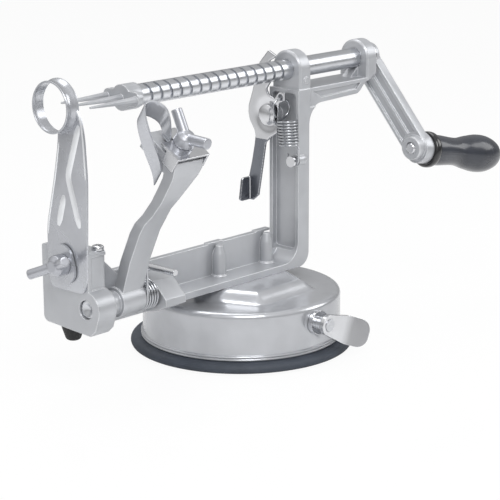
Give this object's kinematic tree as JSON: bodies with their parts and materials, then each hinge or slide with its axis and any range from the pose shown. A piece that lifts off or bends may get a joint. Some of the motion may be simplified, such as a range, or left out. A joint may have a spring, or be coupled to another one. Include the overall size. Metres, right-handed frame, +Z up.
{
  "type": "apple peeler",
  "caption": "Hand cranked fruit peeler on a suction base: a threaded feed shaft with a fork pushes fruit past a sprung peeling blade and a coring ring.",
  "frame": {"origin": "centre of the suction cup's flat underside, on the table", "axes": "+X along the feed shaft from the coring ring towards the crank, +Z up, the peeling arm on the -Y side"},
  "size_m": [0.2869, 0.1178, 0.1459],
  "materials": {
    "cast_alloy": "satin casting",
    "drum_steel": "silver lacquer",
    "cup_rubber": "matte",
    "foot_rubber": "matte",
    "bright_steel": "bright",
    "turned_steel": "turned",
    "strip_steel": "rolled",
    "spring_steel": "drawn wire",
    "collar_plastic": "gloss",
    "grip_plastic": "satin"
  },
  "bodies": {
    "frame": {"base_housing": "drum_steel", "suction_cup": "cup_rubber", "lever_bush": "bright_steel", "base_screws": "turned_steel", "frame_casting": "cast_alloy", "rubber_foot": "foot_rubber", "edge_screw": "bright_steel", "release_rivet": "bright_steel", "spring_stud": "bright_steel", "release_spring": "spring_steel", "clamp_plate": "turned_steel", "pivot_rod": "turned_steel", "stop_pin": "bright_steel", "torsion_spring": "spring_steel"},
    "slicer": {"slicer_blade": "strip_steel"},
    "wing": {"wing_screw": "bright_steel"},
    "stem": {"cup_stem": "turned_steel"},
    "cam": {"cam_shaft": "bright_steel", "lift_cam": "turned_steel", "cam_pin": "turned_steel", "lock_lever": "bright_steel"},
    "carriage": {"crank_washer": "turned_steel"},
    "shaft": {"feed_screw": "bright_steel", "fork": "bright_steel", "crank_arm": "cast_alloy", "crank_nut": "turned_steel", "handle_bolt": "turned_steel", "handle_collar": "collar_plastic"},
    "grip": {"handle_grip": "grip_plastic"},
    "release": {"release_lever": "strip_steel"},
    "arm": {"peeling_arm": "cast_alloy", "peeling_blade": "strip_steel", "blade_clip": "strip_steel", "blade_stud": "turned_steel", "blade_wing_nut": "bright_steel"}
  },
  "joints": [
    {"name": "crank_turn", "type": "hinge", "parent": "carriage", "child": "shaft", "pos_m": [0, 0, 0.1326], "axis": [1, 0, 0], "range_deg": [0, 5328.5]},
    {"name": "screw_feed", "type": "slide", "parent": "frame", "child": "carriage", "axis": [1, 0, 0], "range_m": [0, 0.094]},
    {"name": "grip_spin", "type": "hinge", "parent": "shaft", "child": "grip", "pos_m": [0.0945, -0.03118, 0.0879], "axis": [0.9744, -0.1287, -0.1845], "continuous": true},
    {"name": "release_press", "type": "hinge", "parent": "frame", "child": "release", "pos_m": [0.0283, 0.0073, 0.1097], "axis": [1, 0, 0], "range_deg": [-8, 0], "stiffness_Nm_per_rad": 0.1, "springref_deg": 5.73, "deforming": ["release_spring"]},
    {"name": "arm_swing", "type": "hinge", "parent": "frame", "child": "arm", "pos_m": [-0.09, -0.013, 0.0436], "axis": [1, 0, 0], "range_deg": [-12, 40], "stiffness_Nm_per_rad": 0.6, "deforming": ["torsion_spring"]},
    {"name": "lock_turn", "type": "hinge", "parent": "frame", "child": "cam", "pos_m": [0, 0, 0.0199], "axis": [0, -1, 0], "range_deg": [0, 90]},
    {"name": "cup_lift", "type": "slide", "parent": "frame", "child": "stem", "axis": [0, 0, -1], "range_m": [0, 0.0022], "deforming": ["suction_cup"]},
    {"name": "clamp_turn", "type": "hinge", "parent": "frame", "child": "wing", "pos_m": [-0.12, -0.002, 0.0633], "axis": [1, 0, 0], "range_deg": [-180, 180]},
    {"name": "slicer_height", "type": "slide", "parent": "frame", "child": "slicer", "axis": [0, 0, 1], "range_m": [-0.0008, 0.004]}
  ],
  "couplings": [
    {"joint": "screw_feed", "follows": "crank_turn", "m_per_rad": 0.0010106},
    {"joint": "lock_turn", "follows": "cup_lift", "rad_per_m": 714}
  ]
}
